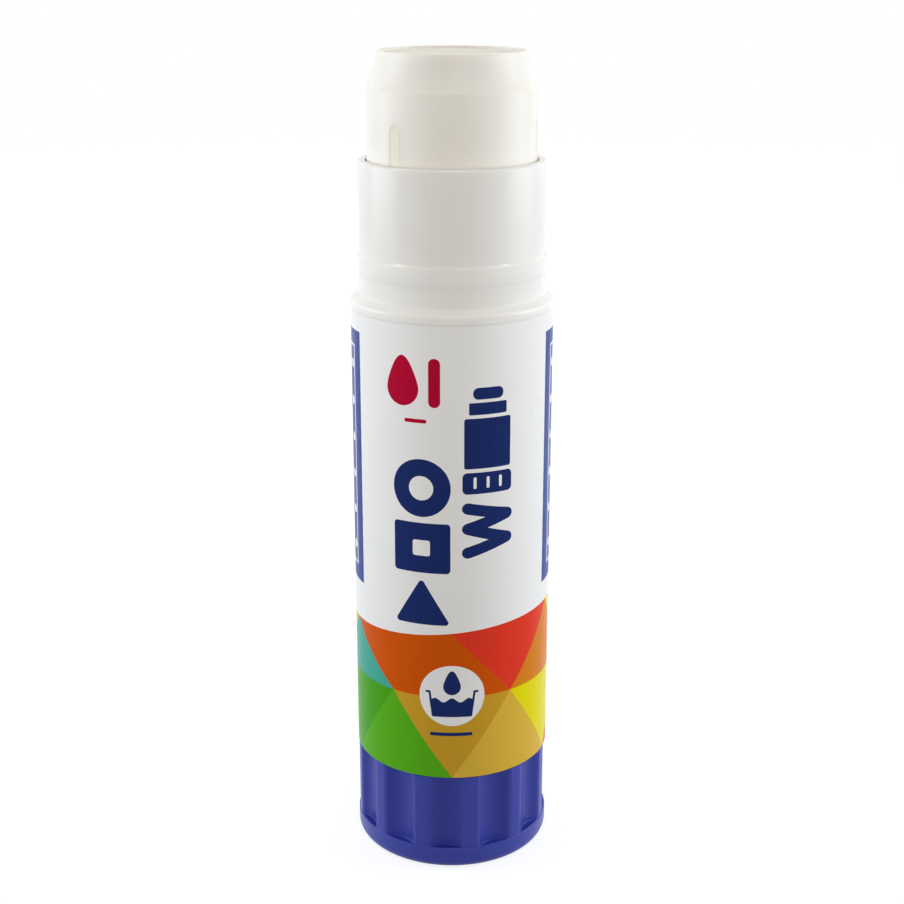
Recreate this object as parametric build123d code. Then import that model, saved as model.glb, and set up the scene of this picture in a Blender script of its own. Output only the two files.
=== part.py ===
from build123d import *
import os

# Glue stick without its cap, standing on its twist knob. Millimetres, +Z up, foot at Z = 0,
# axis on Z, front towards -Y. The outer barrel is a printed tube with a shouldered neck. Inside
# it a slotted inner tube guides the carriage, which a coarse left-hand lead screw lifts when
# the knob is turned clockwise as seen from below.

# Heights along the stick, from the foot up
knob_height = 13.6
seam_gap = 0.15
barrel_length = 62.0
shoulder_rise = 0.75
neck_length = 16.65
tube_stand = 8.65
nose_length = 4.5

# Outer barrel: a straight side, a rounded shoulder and a neck with a snap bead for the cap
barrel_diameter = 26.0
barrel_wall = 1.1
shoulder_wall = 1.5
shoulder_round = 0.6
neck_inset = 1.2
neck_draft = 0.15
neck_wall = 0.9
neck_rim_round = 0.5
neck_mouth_bevel = 0.15
neck_root_round = 0.3
cap_bead_rise = 3.9
cap_bead_width = 3.0
cap_bead_height = 0.22

# Printed film, let into the barrel's side so that it lies flush
film_thickness = 0.08
film_gap = 0.02
film_margin = 1.1

# Twist knob: shallow scallops between narrow ridges, closed below by a plain rounded rim
knob_rim_stand = 0.05
knob_grip_inset = 0.1
knob_rim_height = 3.1
knob_foot_round = 1.3
knob_ledge_bevel = 0.15
flute_count = 12
flute_depth = 1.0
flute_round = 3.6
ridge_round = 0.35
first_flute_angle = -93.5
knob_floor = 1.6
foot_recess_depth = 0.6
foot_ring_width = 4.05
hub_radius = 3.6
hub_height = 10.4
knob_rib_count = 6
knob_rib_thickness = 0.9
skirt_lead_in = 0.3

# Inner tube: slotted guide, thrust step and flexing snap foot below, tapered nose above
neck_clearance = 0.25
tube_wall = 1.1
tube_foot_gap = 4.0
snap_rise = 2.8
snap_width = 1.4
snap_height = 0.45
flange_height = 2.0
flange_bead_height = 0.25
flange_bead_width = 0.8
collar_height = 1.4
slot_count = 3
slot_width = 1.4
slot_top_margin = 3.8
first_slot_angle = -130.5
nose_inset = 1.4
nose_hollow = 0.19
lip_wall = 0.35
mouth_land = 1.3
lip_bevel = 0.12
weld_depth = 0.05

# Share of a snap bead's width that its flat crest takes; the rest is its two slopes
bead_crest_share = 0.35

# Lead screw: thrust disc on the knob's hub, square shank in the hub, coarse single-start thread
screw_lead = 6.0
screw_core_radius = 2.2
thread_depth = 0.9
ridge_root_width = 2.4
ridge_crest_width = 1.3
ridge_embed = 0.4
thread_relief = 0.6
thread_end_margin = 0.4
screw_tip_margin = 0.8
screw_tip_chamfer = 0.6
thrust_disc_thickness = 1.4
thrust_overlap = 0.15
shank_flats = 3.4
shank_length = 8.6

# Carriage: cup for the glue's foot, threaded nut boss, anchor fins and a key for each slot
cup_floor = 1.4
cup_height = 7.6
nut_wall = 1.3
nut_drop = 2.1
nut_rise = 4.8
key_height = 3.3
key_inset = 0.15
fin_count = 4
fin_thickness = 0.8
fin_height = 2.6

# Glue: cast stick with a blind bore for the screw
glue_recess = 0.3
glue_edge_round = 0.4
glue_end_gap = 0.4

# Clearances and cutting overrun
turn_clearance = 0.2
slide_clearance = 0.2
thread_clearance = 0.2
key_clearance = 0.15
end_clearance = 0.1
rest_gap = 0.3
fit_clearance = 0.05
cast_clearance = 0.02
overrun = 1.0
touch = 0.001

# Places worked out from the sizes above
barrel_radius = barrel_diameter / 2
barrel_foot = knob_height + seam_gap
shoulder_corner = barrel_foot + barrel_length
neck_root = shoulder_corner + shoulder_rise
neck_top = neck_root + neck_length
nose_root = neck_top + tube_stand
stick_top = nose_root + nose_length
film_seat_radius = barrel_radius - film_thickness - film_gap
film_top = shoulder_corner - film_margin
barrel_bore = film_seat_radius - barrel_wall
neck_radius = barrel_radius - neck_inset
neck_root_radius = neck_radius + neck_draft
neck_bore = neck_radius - neck_wall
tube_radius = neck_bore - neck_clearance
tube_bore = tube_radius - tube_wall
nose_tip_radius = tube_radius - nose_inset
mouth_radius = nose_tip_radius - lip_wall
inner_shoulder = neck_root - shoulder_wall
knob_floor_top = foot_recess_depth + knob_floor
hub_top = knob_floor_top + hub_height
knob_radius = barrel_radius + knob_rim_stand
foot_recess_radius = knob_radius - foot_ring_width
skirt_bore = tube_radius + turn_clearance
grip_radius = knob_radius - knob_grip_inset
tube_foot = knob_floor_top + tube_foot_gap
disc_radius = tube_bore + thrust_overlap
disc_top = hub_top + thrust_disc_thickness
seat_bore = disc_radius + turn_clearance
thrust_step = disc_top + end_clearance
snap_z = tube_foot + snap_rise
flange_z = barrel_foot + end_clearance
collar_top = inner_shoulder - end_clearance
slot_top = nose_root - slot_top_margin
nut_foot = disc_top + rest_gap
cup_foot = nut_foot + nut_drop
cup_floor_top = cup_foot + cup_floor
nut_top = cup_floor_top + nut_rise
cup_radius = tube_bore - slide_clearance
screw_crest_radius = screw_core_radius + thread_depth
nut_radius = screw_crest_radius + thread_clearance + nut_wall
glue_radius = mouth_radius - slide_clearance
screw_tip = nose_root - screw_tip_margin
thread_foot = disc_top + thread_relief + ridge_root_width / 2
thread_end = screw_tip - screw_tip_chamfer - thread_end_margin - ridge_root_width / 2
thread_turns = (thread_end - thread_foot) / screw_lead


def turned(outline):
    """A solid turned about the stick's axis from a closed outline of (radius, height) points."""
    return revolve(Plane.XZ * make_face(outline), Axis.Z)


def ring(inner, outer, foot, height):
    """A plain ring or disc about the axis, standing at one height."""
    low, high = foot, foot + height
    return turned(Polyline((inner, low), (outer, low), (outer, high), (inner, high), close=True))


def bead(radius, centre, width, height):
    """A snap bead with two slopes that stands out from a cylinder, rooted a little inside it."""
    low, high = centre - width / 2, centre + width / 2
    root = radius - weld_depth
    crest = radius + height
    crest_half = width * bead_crest_share / 2
    outline = Polyline(
        (root, low),
        (radius, low),
        (crest, centre - crest_half),
        (crest, centre + crest_half),
        (radius, high),
        (root, high),
        close=True,
    )
    return turned(outline)


def circle_at(solid, height, radius):
    """The circular edge of a turned solid that lies at one height and radius."""
    circles = solid.edges().filter_by(GeomType.CIRCLE)
    return [e for e in circles if abs(e.arc_center.Z - height) + abs(e.radius - radius) < touch]


def rounded(solid, height, radius, size):
    """Rounds that edge, for the corners that show."""
    return fillet(circle_at(solid, height, radius), size)


def bevelled(solid, height, radius, size):
    """Takes a small bevel off that edge."""
    return chamfer(circle_at(solid, height, radius), size)


def radial_bars(count, first_angle, inner, outer, width, foot, height):
    """Upright bars that run outwards from the axis, evenly spaced."""
    middle = (inner + outer) / 2
    bar = Box(outer - inner, width, height)
    places = PolarLocations(middle, count, first_angle)
    return [Pos(0, 0, foot + height / 2) * place * bar for place in places]


def thread_ridge(foot, turns, clearance):
    """The screw's trapezoid ridge, widened all round by a clearance, in step with height 0."""
    crest = screw_crest_radius + clearance
    root = screw_core_radius + clearance - ridge_embed
    flank = (ridge_root_width - ridge_crest_width) / 2 / thread_depth
    crest_half = ridge_crest_width / 2 + clearance
    root_half = crest_half + flank * (crest - root)
    section = Polyline(
        (root, -root_half), (crest, -crest_half), (crest, crest_half), (root, root_half), close=True
    )
    helix = Helix(screw_lead, turns * screw_lead, screw_core_radius, lefthand=True)
    ridge = sweep(Plane.XZ * make_face(section), path=helix, is_frenet=True)
    return Pos(0, 0, foot) * Rot(0, 0, -foot / screw_lead * 360) * ridge


def make_outer_barrel():
    """Printed tube: film seat, shoulder, neck with the cap's snap bead, bore and inner step."""
    bead_low = neck_root + cap_bead_rise - cap_bead_width / 2
    bead_high = bead_low + cap_bead_width
    side = Polyline(
        (film_seat_radius, barrel_foot),
        (film_seat_radius, film_top + film_gap),
        (barrel_radius, film_top + film_gap),
        (barrel_radius, shoulder_corner),
        (neck_root_radius, neck_root),
        (neck_root_radius, bead_low),
    )
    cap_bead = SagittaArc((neck_root_radius, bead_low), (neck_radius, bead_high), -cap_bead_height)
    rest = Polyline(
        (neck_radius, bead_high),
        (neck_radius, neck_top),
        (neck_bore, neck_top),
        (neck_bore, inner_shoulder),
        (barrel_bore, inner_shoulder),
        (barrel_bore, barrel_foot),
        (film_seat_radius, barrel_foot),
    )
    barrel = turned(side + cap_bead + rest)
    barrel = rounded(barrel, shoulder_corner, barrel_radius, shoulder_round)
    barrel = rounded(barrel, neck_root, neck_root_radius, neck_root_round)
    barrel = rounded(barrel, neck_top, neck_radius, neck_rim_round)
    barrel = bevelled(barrel, neck_top, neck_bore, neck_mouth_bevel)
    groove_centre = flange_z + flange_height / 2
    groove_width = flange_bead_width + 2 * end_clearance
    groove = bead(barrel_bore, groove_centre, groove_width, flange_bead_height + fit_clearance)
    return barrel - groove


def make_label_film():
    """The printed film, a thin sleeve let into the barrel's side."""
    inner = film_seat_radius + film_gap
    return ring(inner, barrel_radius, barrel_foot, film_top - barrel_foot)


def make_twist_knob():
    """Fluted grip on a plain rim, with a skirt over the tube's snap foot, hub, ribs and feet."""
    flute_reach = grip_radius - flute_depth + flute_round
    flutes = PolarLocations(flute_reach, flute_count, first_flute_angle) * Circle(flute_round)
    grip = Circle(grip_radius) - flutes
    grip = fillet(grip.vertices(), ridge_round)
    grip_foot = knob_rim_height - knob_ledge_bevel
    knob = Pos(0, 0, grip_foot) * extrude(grip, knob_height - grip_foot)
    rim = ring(0, knob_radius, 0, knob_rim_height)
    rim = rounded(rim, 0, knob_radius, knob_foot_round)
    rim = bevelled(rim, knob_rim_height, knob_radius, knob_ledge_bevel)
    knob += rim
    knob -= ring(0, foot_recess_radius, -overrun, foot_recess_depth + overrun)
    knob -= ring(0, skirt_bore, knob_floor_top, knob_height)
    groove_width = snap_width + 2 * end_clearance
    groove_height = snap_height + fit_clearance
    knob -= bead(skirt_bore, snap_z, groove_width, groove_height)
    lead_in = Polyline(
        (skirt_bore - skirt_lead_in, knob_height + skirt_lead_in),
        (skirt_bore - skirt_lead_in, knob_height - 2 * skirt_lead_in),
        (skirt_bore + 2 * skirt_lead_in, knob_height + skirt_lead_in),
        close=True,
    )
    knob -= turned(lead_in)
    knob += ring(0, hub_radius, foot_recess_depth, hub_top - foot_recess_depth)
    rib_height = tube_foot - rest_gap - foot_recess_depth
    rib_reach = skirt_bore + weld_depth
    knob += radial_bars(
        knob_rib_count, first_flute_angle, 0, rib_reach, knob_rib_thickness, foot_recess_depth, rib_height
    )
    socket_flats = shank_flats + 2 * fit_clearance
    socket_depth = shank_length + end_clearance
    socket = Box(socket_flats, socket_flats, socket_depth)
    return knob - Pos(0, 0, hub_top - socket_depth / 2) * socket


def make_inner_tube():
    """Guide tube: slots open at the snap foot, thrust step, flange, collar and hollowed nose."""
    nose = SagittaArc((tube_radius, nose_root), (nose_tip_radius, stick_top), nose_hollow)
    walls = Polyline(
        (nose_tip_radius, stick_top),
        (mouth_radius, stick_top),
        (mouth_radius, stick_top - mouth_land),
        (tube_bore, nose_root),
        (tube_bore, thrust_step),
        (seat_bore, thrust_step),
        (seat_bore, tube_foot),
        (tube_radius, tube_foot),
        (tube_radius, nose_root),
    )
    tube = turned(nose + walls)
    tube = bevelled(tube, stick_top, nose_tip_radius, lip_bevel)
    tube += bead(tube_radius, snap_z, snap_width, snap_height)
    slot_inner = tube_bore - overrun
    slot_outer = tube_radius + overrun
    slot_foot = tube_foot - overrun
    slot_round = slot_width / 2
    slot_straight = slot_top - slot_round - slot_foot
    tube -= radial_bars(
        slot_count, first_slot_angle, slot_inner, slot_outer, slot_width, slot_foot, slot_straight
    )
    slot_end = Cylinder(slot_round, slot_outer - slot_inner, rotation=(0, 90, 0))
    slot_middle = (slot_inner + slot_outer) / 2
    for place in PolarLocations(slot_middle, slot_count, first_slot_angle):
        tube -= Pos(0, 0, slot_top - slot_round) * place * slot_end
    ring_bore = tube_radius - weld_depth
    ring_radius = barrel_bore - fit_clearance
    tube += ring(ring_bore, ring_radius, flange_z, flange_height)
    flange_middle = flange_z + flange_height / 2
    tube += bead(ring_radius, flange_middle, flange_bead_width, flange_bead_height)
    tube += ring(ring_bore, ring_radius, collar_top - collar_height, collar_height)
    return tube


def make_lead_screw():
    """Square shank, thrust disc and threaded spindle with a chamfered tip."""
    shank = Box(shank_flats, shank_flats, shank_length)
    screw = Pos(0, 0, hub_top - shank_length / 2) * shank
    screw += ring(0, disc_radius, hub_top, thrust_disc_thickness)
    tip_radius = screw_core_radius - screw_tip_chamfer
    spindle = Polyline(
        (0, hub_top),
        (screw_core_radius, hub_top),
        (screw_core_radius, screw_tip - screw_tip_chamfer),
        (tip_radius, screw_tip),
        (0, screw_tip),
        close=True,
    )
    screw += turned(spindle)
    return screw + thread_ridge(thread_foot, thread_turns, 0)


def anchor_fins(clearance):
    """Upright fins that lock the glue's foot to the cup."""
    outer = glue_radius + weld_depth + clearance
    thickness = fin_thickness + 2 * clearance
    height = fin_height + clearance
    return radial_bars(fin_count, first_slot_angle, 0, outer, thickness, cup_floor_top, height)


def make_carriage():
    """Cup, fins, keys and the nut, whose thread is the screw's with its clearance."""
    cup_bore = glue_radius + cast_clearance
    carriage = ring(0, cup_radius, cup_foot, cup_height)
    carriage -= ring(0, cup_bore, cup_floor_top, cup_height)
    carriage += anchor_fins(0)
    carriage += ring(0, nut_radius, nut_foot, nut_top - nut_foot)
    key_tip = tube_radius - key_inset
    key_width = slot_width - 2 * key_clearance
    key_root = cup_bore + weld_depth
    carriage += radial_bars(
        slot_count, first_slot_angle, key_root, key_tip, key_width, cup_foot, key_height
    )
    core_bore = screw_core_radius + thread_clearance
    nut_length = nut_top - nut_foot
    cutter_foot = nut_foot - screw_lead / 2
    cutter_turns = nut_length / screw_lead + 1
    cutter = thread_ridge(cutter_foot, cutter_turns, thread_clearance)
    cutter += ring(0, core_bore, nut_foot - screw_lead, nut_length + 2 * screw_lead)
    return carriage - cutter


def make_glue():
    """Cast stick: foot around the nut boss and fins, blind bore for the screw, flat top."""
    bore = screw_crest_radius + rest_gap
    bore_top = screw_tip + glue_end_gap
    boss_bore = nut_radius + cast_clearance
    boss_top = nut_top + cast_clearance
    glue_top = stick_top - glue_recess
    outline = Polyline(
        (boss_bore, cup_floor_top),
        (glue_radius, cup_floor_top),
        (glue_radius, glue_top),
        (0, glue_top),
        (0, bore_top),
        (bore, bore_top),
        (bore, boss_top),
        (boss_bore, boss_top),
        close=True,
    )
    glue = turned(outline)
    glue = rounded(glue, glue_top, glue_radius, glue_edge_round)
    return glue - anchor_fins(cast_clearance)


pieces = {
    "outer_barrel": make_outer_barrel,
    "label_film": make_label_film,
    "inner_tube": make_inner_tube,
    "twist_knob": make_twist_knob,
    "lead_screw": make_lead_screw,
    "carriage": make_carriage,
    "glue": make_glue,
}

key_top = cup_foot + key_height
travel = slot_top - slot_width / 2 - key_top - end_clearance
print("carriage travel", round(travel, 3), "mm, turns", round(travel / screw_lead, 4))

os.makedirs("parts", exist_ok=True)
for name, make in pieces.items():
    export_step(make(), f"parts/{name}.step")
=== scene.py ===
import math

import bpy
import numpy as np
from mathutils.geometry import delaunay_2d_cdt
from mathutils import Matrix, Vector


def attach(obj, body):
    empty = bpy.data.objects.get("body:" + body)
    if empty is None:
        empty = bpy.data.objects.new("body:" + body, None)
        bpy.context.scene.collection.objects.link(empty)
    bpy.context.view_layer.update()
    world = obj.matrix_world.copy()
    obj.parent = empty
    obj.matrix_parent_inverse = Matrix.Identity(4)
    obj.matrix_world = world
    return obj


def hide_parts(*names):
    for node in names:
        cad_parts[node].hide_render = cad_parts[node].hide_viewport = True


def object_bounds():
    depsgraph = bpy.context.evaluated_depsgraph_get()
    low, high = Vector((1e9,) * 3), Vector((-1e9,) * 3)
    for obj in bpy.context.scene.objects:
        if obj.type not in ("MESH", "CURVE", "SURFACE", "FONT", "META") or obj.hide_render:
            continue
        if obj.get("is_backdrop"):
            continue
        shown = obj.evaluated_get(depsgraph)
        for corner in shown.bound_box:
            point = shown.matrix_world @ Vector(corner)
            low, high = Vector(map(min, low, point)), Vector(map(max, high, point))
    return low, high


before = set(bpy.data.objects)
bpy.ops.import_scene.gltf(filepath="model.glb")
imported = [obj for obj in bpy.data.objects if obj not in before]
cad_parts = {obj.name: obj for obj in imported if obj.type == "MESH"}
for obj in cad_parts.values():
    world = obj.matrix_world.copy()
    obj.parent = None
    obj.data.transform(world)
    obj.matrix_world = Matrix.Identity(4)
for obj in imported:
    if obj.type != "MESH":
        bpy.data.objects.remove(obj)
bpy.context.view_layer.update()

# Outer barrel: one injection-moulded polypropylene tube, glossy white, with a rounded shoulder,
# a slightly drafted neck and a low snap bead for the cap. The printed wrap lies in its side, and
# its foot snaps over the guide tube's flange. The sizes of all pieces are in millimetres.
MM = 0.001
BARREL_FOOT = 13.75
WRAP_TOP = 74.65
SHOULDER_CORNER = 75.75
NECK_ROOT = 76.5
NECK_TOP = 93.15
BARREL_RADIUS = 13.0
WRAP_SEAT_RADIUS = 12.93
BARREL_BORE = 11.8
FOOT_BEVEL = 0.25
WRAP_EDGE_GAP = 0.02
NECK_ROOT_RADIUS = 11.95
NECK_RADIUS = 11.8
NECK_BORE = 10.9
INNER_SHOULDER = 75.0
BEAD_FOOT = 78.9
BEAD_BACK = 81.68
BEAD_CREST = ((12.03, 79.5), (12.1, 80.4), (12.09, 81.38))
GROOVE_HEIGHT = 14.85
GROOVE_HALF = 0.5
GROOVE_CREST = 0.175
GROOVE_DEPTH = 0.3
SHARP_EDGE = math.radians(32)


def soften(corners, steps=7):
    """An outline of (radius, height) points whose corners (radius, height, round) become arcs."""
    points = []
    for index, corner in enumerate(corners):
        here = np.array(corner[:2], float)
        size = corner[2] if len(corner) > 2 else 0
        if not size:
            points.append(tuple(here))
            continue
        before = np.array(corners[index - 1][:2], float) - here
        after = np.array(corners[(index + 1) % len(corners)][:2], float) - here
        before /= np.linalg.norm(before)
        after /= np.linalg.norm(after)
        half = math.acos(np.clip(before @ after, -1, 1)) / 2
        middle = before + after
        centre = here + middle / np.linalg.norm(middle) * size / math.sin(half)
        start = here + before * size / math.tan(half) - centre
        end = here + after * size / math.tan(half) - centre
        sweep = math.pi - 2 * half
        for step in range(steps + 1):
            share = step / steps
            weights = math.sin((1 - share) * sweep), math.sin(share * sweep)
            points.append(tuple(centre + (start * weights[0] + end * weights[1]) / math.sin(sweep)))
    return points


def shade(piece):
    """Smooth shading with crisp edges."""
    piece.data.shade_smooth()
    piece.data.set_sharp_from_angle(angle=SHARP_EDGE)


def mesh_object(name, points, faces):
    """A shaded mesh object at the origin, from points in millimetres."""
    mesh = bpy.data.meshes.new(name)
    mesh.from_pydata([tuple(c * MM for c in p) for p in points], [], faces)
    mesh.validate()
    made = bpy.data.objects.new(name, mesh)
    bpy.context.scene.collection.objects.link(made)
    shade(made)
    return made


def spin(name, outline, steps=240):
    """Turns a closed outline, in order round its left side, about the stick's axis."""
    points, rings = [], []
    turn = np.arange(steps) / steps * math.tau
    for radius, height in outline:
        if radius == 0:
            rings.append([len(points)] * steps)
            points.append((0, 0, height))
        else:
            rings.append(list(range(len(points), len(points) + steps)))
            points += [(radius * math.cos(a), radius * math.sin(a), height) for a in turn]
    faces = []
    for low, high in zip(rings, rings[1:] + rings[:1]):
        for i in range(steps):
            j = (i + 1) % steps
            face = tuple(dict.fromkeys((low[i], low[j], high[j], high[i])))
            if len(face) > 2:
                faces.append(face)
    return mesh_object(name, points, faces)


def linear(hex_colour):
    """An sRGB hex colour as the linear RGBA that shaders take."""
    channels = [int(hex_colour[i : i + 2], 16) / 255 for i in (1, 3, 5)]
    return (*[c / 12.92 if c <= 0.04045 else ((c + 0.055) / 1.055) ** 2.4 for c in channels], 1.0)


def node(tree, kind, inputs=(), **settings):
    """Adds a node with its settings. Each input gets a value, or the node or socket to feed it."""
    made = tree.nodes.new(kind)
    for name, value in settings.items():
        setattr(made, name, value)
    for socket, feeds in inputs.items() if isinstance(inputs, dict) else enumerate(inputs):
        for value in feeds if isinstance(feeds, list) else [feeds]:
            if isinstance(value, bpy.types.Node):
                value = value.outputs[0]
            if isinstance(value, bpy.types.NodeSocket):
                tree.links.new(value, made.inputs[socket])
            else:
                made.inputs[socket].default_value = value
    return made


def per(size_mm):
    """A texture scale at which one cell of the pattern is this many millimetres."""
    return 1 / (size_mm * MM)


MATH = "ShaderNodeMath"
SCUFF_MM = 0.35
SCUFF_STRETCH = 0.05
SCUFF_ONSET = (0.64, 0.8)
NOISE_SPREAD = (0.3, 0.7)
BUMP_RISE = 0.05
FLOW_SPREAD = (0.15, 0.85)


def moulded(name, colour, drift, roughness, shader, flow_mm, grain_mm, grain, wear_and_sheen):
    """Moulded plastic: colour and gloss drift with the melt's flow, over a fine skin. Lengthwise
    scuffs of about 0.1 mm are drawn at 0.35 mm so that they show. Past a radius or height in
    millimetres that the last argument gives, the surface takes another colour and gloss, as each
    piece says; on the barrel's bead and shoulder and the knob's ridges and rim, the lighter colour
    is partly painted highlight."""
    material = bpy.data.materials.new(name)
    material.use_nodes = True
    tree = material.node_tree
    tree.nodes.clear()
    place = node(tree, "ShaderNodeTexCoord").outputs["Object"]
    flow = node(tree, "ShaderNodeTexNoise", {"Vector": place, "Scale": per(flow_mm), "Detail": 3.0})
    skin = node(
        tree, "ShaderNodeTexNoise", {"Vector": place, "Scale": per(grain_mm), "Detail": 2.0}
    )
    along = node(tree, "ShaderNodeMapping", {"Vector": place, "Scale": (1, 1, SCUFF_STRETCH)})
    streak = node(
        tree, "ShaderNodeTexNoise", {"Vector": along, "Scale": per(SCUFF_MM), "Detail": 1.0}
    )
    onset, whole = SCUFF_ONSET
    scuff = node(tree, "ShaderNodeMapRange", {"Value": streak, 1: onset, 2: whole, 3: 0.0, 4: 0.04})
    tint = node(
        tree, "ShaderNodeMix", {0: flow, 6: linear(colour), 7: linear(drift)}, data_type="RGBA"
    )
    gloss = node(
        tree,
        "ShaderNodeMapRange",
        {"Value": flow, 1: FLOW_SPREAD[0], 2: FLOW_SPREAD[1], 3: roughness[0], 4: roughness[1]},
    )
    scuffed = node(tree, MATH, (gloss, scuff), operation="ADD")
    if wear_and_sheen["by"] == "radius":
        across = node(tree, "ShaderNodeVectorMath", (place, (1, 1, 0)), operation="MULTIPLY")
        reach = node(tree, "ShaderNodeVectorMath", (across,), operation="LENGTH")
        where = reach.outputs["Value"]
    else:
        where = node(tree, "ShaderNodeSeparateXYZ", (place,)).outputs["Z"]
    # How far the other colour and gloss take over: wear, and on some pieces painted highlight.
    wear_and_sheen_share = node(
        tree,
        "ShaderNodeMapRange",
        {"Value": where, 1: wear_and_sheen["start"] * MM, 2: wear_and_sheen["full"] * MM, 3: 0.0, 4: wear_and_sheen["share"]},
        interpolation_type="SMOOTHSTEP",
    )
    low, high = NOISE_SPREAD
    uneven = node(tree, "ShaderNodeMapRange", {"Value": skin, 1: low, 2: high, 3: 0.75, 4: 1.0})
    patchy = node(tree, MATH, (wear_and_sheen_share, uneven), operation="MULTIPLY")
    final_tint = node(
        tree,
        "ShaderNodeMix",
        {0: patchy, 6: tint.outputs[2], 7: linear(wear_and_sheen["colour"])},
        data_type="RGBA",
    )
    final_gloss = node(tree, "ShaderNodeMix", {0: patchy, 2: scuffed, 3: wear_and_sheen["roughness"]})
    bump = node(
        tree, "ShaderNodeBump", {"Height": skin, "Strength": grain, "Distance": BUMP_RISE * MM}
    )
    body = node(
        tree,
        "ShaderNodeBsdfPrincipled",
        {"Base Color": final_tint.outputs[2], "Roughness": final_gloss, "Normal": bump, **shader},
    )
    node(tree, "ShaderNodeOutputMaterial", (body,))
    return material


# Each corner has a radius, a height and, where the real edge is rounded, the size of its round.
barrel_outline = soften(
    [
        (BARREL_BORE + FOOT_BEVEL, BARREL_FOOT, 0.1),
        (WRAP_SEAT_RADIUS, BARREL_FOOT, 0.1),
        (WRAP_SEAT_RADIUS, WRAP_TOP + WRAP_EDGE_GAP),
        (BARREL_RADIUS, WRAP_TOP + WRAP_EDGE_GAP),
        (BARREL_RADIUS, SHOULDER_CORNER, 0.6),
        (NECK_ROOT_RADIUS, NECK_ROOT, 0.3),
        (NECK_ROOT_RADIUS, BEAD_FOOT, 1.5),
        (*BEAD_CREST[0], 1.5),
        (*BEAD_CREST[1], 1.2),
        (*BEAD_CREST[2], 0.12),
        (NECK_RADIUS, BEAD_BACK, 0.08),
        (NECK_RADIUS, NECK_TOP, 0.4),
        (NECK_BORE, NECK_TOP, 0.15),
        (NECK_BORE, INNER_SHOULDER),
        (BARREL_BORE, INNER_SHOULDER, 0.2),
        (BARREL_BORE, GROOVE_HEIGHT + GROOVE_HALF),
        (BARREL_BORE + GROOVE_DEPTH, GROOVE_HEIGHT + GROOVE_CREST),
        (BARREL_BORE + GROOVE_DEPTH, GROOVE_HEIGHT - GROOVE_CREST),
        (BARREL_BORE, GROOVE_HEIGHT - GROOVE_HALF),
        (BARREL_BORE, BARREL_FOOT + FOOT_BEVEL),
    ]
)
barrel = spin("barrel_tube", barrel_outline)
# Glossy white polypropylene, from a polished mould: clean thin highlights on the edges, soft
# shade in the slightly translucent wall, and a smoother polish where the cap rubs the bead and
# the shoulder. The slightly lighter colour there is painted highlight.
white_polypropylene = moulded(
    "glossy_white_moulded_polypropylene",
    "#F3F3F1",
    "#ECEBE7",
    (0.2, 0.27),
    {"IOR": 1.49, "Specular IOR Level": 0.4, "Subsurface Weight": 0.3,
     "Subsurface Radius": (1, 0.9, 0.8), "Subsurface Scale": 1.0 * MM},
    flow_mm=9,
    grain_mm=0.6,
    grain=0.05,
    wear_and_sheen={"by": "radius", "start": 11.96, "full": 12.08, "share": 0.8, "colour": "#F6F6F3",
         "roughness": 0.13},
)
barrel.data.materials.append(white_polypropylene)
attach(barrel, "barrel")
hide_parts("outer_barrel")

# Printed wrap: a polypropylene film of 50 microns, printed in solid inks on white, wound once
# round the barrel and lapped on itself at the back. It is drawn flat: x is the way round it from
# the middle of the front, and z is the height above the stick's foot.
WRAP_RADIUS = 12.94
WRAP_THICKNESS = 0.05
WRAP_LAP_LIFT = 0.055
WRAP_LAP = 8
WRAP_LAP_START = 178
WRAP_LAP_RISE = 2
WRAP_COLUMNS = 240
WELD = 1e-4
FILM_FLOW_MM = 7
SPECK_MM = 0.3
BAND_TOP = 34.4
BAND_WAVE = 1.3
BAND_MIDDLE = 25.4
FACETS = 5
INKS = {
    "film_white": "#F8F9FA",
    "crimson": "#B90434",
    "navy": "#1A2D6A",
    "panel_blue": "#2E4896",
    "teal": "#45AE9C",
    "green": "#48A614",
    "leaf": "#5AB41A",
    "orange": "#D85804",
    "amber": "#DF8412",
    "red": "#EA3C28",
    "yellow": "#EEE400",
    "gold": "#D2A32C",
    "straw": "#E3BB42",
    "sky": "#3F86C4",
}


def at(degrees):
    """The arc length on the wrap at an angle from the front."""
    return math.radians(degrees) * (WRAP_RADIUS + WRAP_THICKNESS)


def disc(x, z, radius, count=64):
    """A round shape on the flat wrap."""
    turn = np.arange(count) / count * math.tau
    return [(x + radius * math.cos(a), z + radius * math.sin(a)) for a in turn]


def slab(x0, z0, x1, z1, corner=0.0, steps=8):
    """An upright rectangle on the flat wrap, with rounded corners."""
    box = [(x0, z0, corner), (x1, z0, corner), (x1, z1, corner), (x0, z1, corner)]
    return soften(box, steps)


def drop(x, z, radius, height, count=48):
    """A drop on the flat wrap: a round foot that draws up to a point."""
    points = []
    for step in range(count):
        a = step / count * math.tau
        lift = max(math.cos(a), 0) ** 3 * (height - 2 * radius)
        points.append((x + radius * math.sin(a), z + radius + radius * math.cos(a) + lift))
    return points[::-1]


def ribbon(points, width):
    """A line of even width with round joints, as one shape a run and one a joint."""
    half = width / 2
    shapes = [disc(x, z, half, 24) for x, z in points]
    for (x0, z0), (x1, z1) in zip(points, points[1:]):
        length = math.hypot(x1 - x0, z1 - z0)
        dx, dz = (z0 - z1) / length * half, (x1 - x0) / length * half
        near = [(x0 - dx, z0 - dz), (x1 - dx, z1 - dz)]
        shapes.append([*near, (x1 + dx, z1 + dz), (x0 + dx, z0 + dz)])
    return shapes


def band_edge(x):
    """The height of the colour band's upper edge."""
    return BAND_TOP + BAND_WAVE * math.sin(x / at(180) * math.pi)


sheet_left, sheet_right = at(-180), at(180 + WRAP_LAP)
printed = []


def trim(shape, edge, side):
    """The part of a closed shape on one side of an upright line."""
    kept = []
    for (x0, z0), (x1, z1) in zip(shape, shape[1:] + shape[:1]):
        if (x0 - edge) * side >= 0:
            kept.append((x0, z0))
        if (x0 - edge) * (x1 - edge) < 0:
            kept.append((edge, z0 + (z1 - z0) * (edge - x0) / (x1 - x0)))
    return kept


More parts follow.
